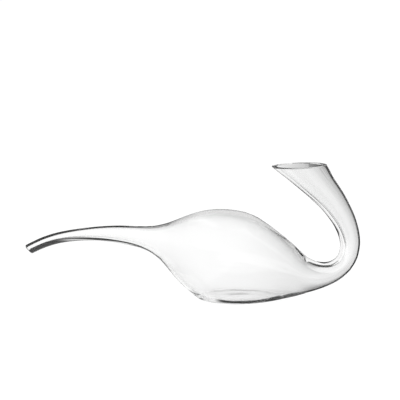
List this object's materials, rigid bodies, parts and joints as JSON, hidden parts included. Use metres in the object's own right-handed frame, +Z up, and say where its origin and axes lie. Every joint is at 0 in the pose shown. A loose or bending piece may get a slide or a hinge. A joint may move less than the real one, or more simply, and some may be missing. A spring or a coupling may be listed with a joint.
{
  "type": "wine decanter",
  "caption": "Free-blown clear glass wine decanter lying along its length, with a long drooping spout, a round bowl on a flat foot and a swan-like neck that bends up to a flared oval mouth.",
  "frame": {"origin": "middle of the flat underside of the foot, where the decanter stands", "axes": "+Z up, +X from the spout towards the neck along the length, +Y across, away from the viewer of the picture"},
  "size_m": [0.4488, 0.1582, 0.1817],
  "materials": {
    "clear_glass": "clear colourless crystal glass, fire-polished, with faint draw lines from blowing"
  },
  "bodies": {
    "root": {"spout_tip": "clear_glass", "pour_spout": "clear_glass", "spout_root": "clear_glass", "bowl_front": "clear_glass", "bowl_belly": "clear_glass", "bowl_back": "clear_glass", "foot_pad": "clear_glass", "neck_root": "clear_glass", "neck_bend": "clear_glass", "neck_stem": "clear_glass", "neck_funnel": "clear_glass", "mouth_rim": "clear_glass"}
  },
  "joints": []
}
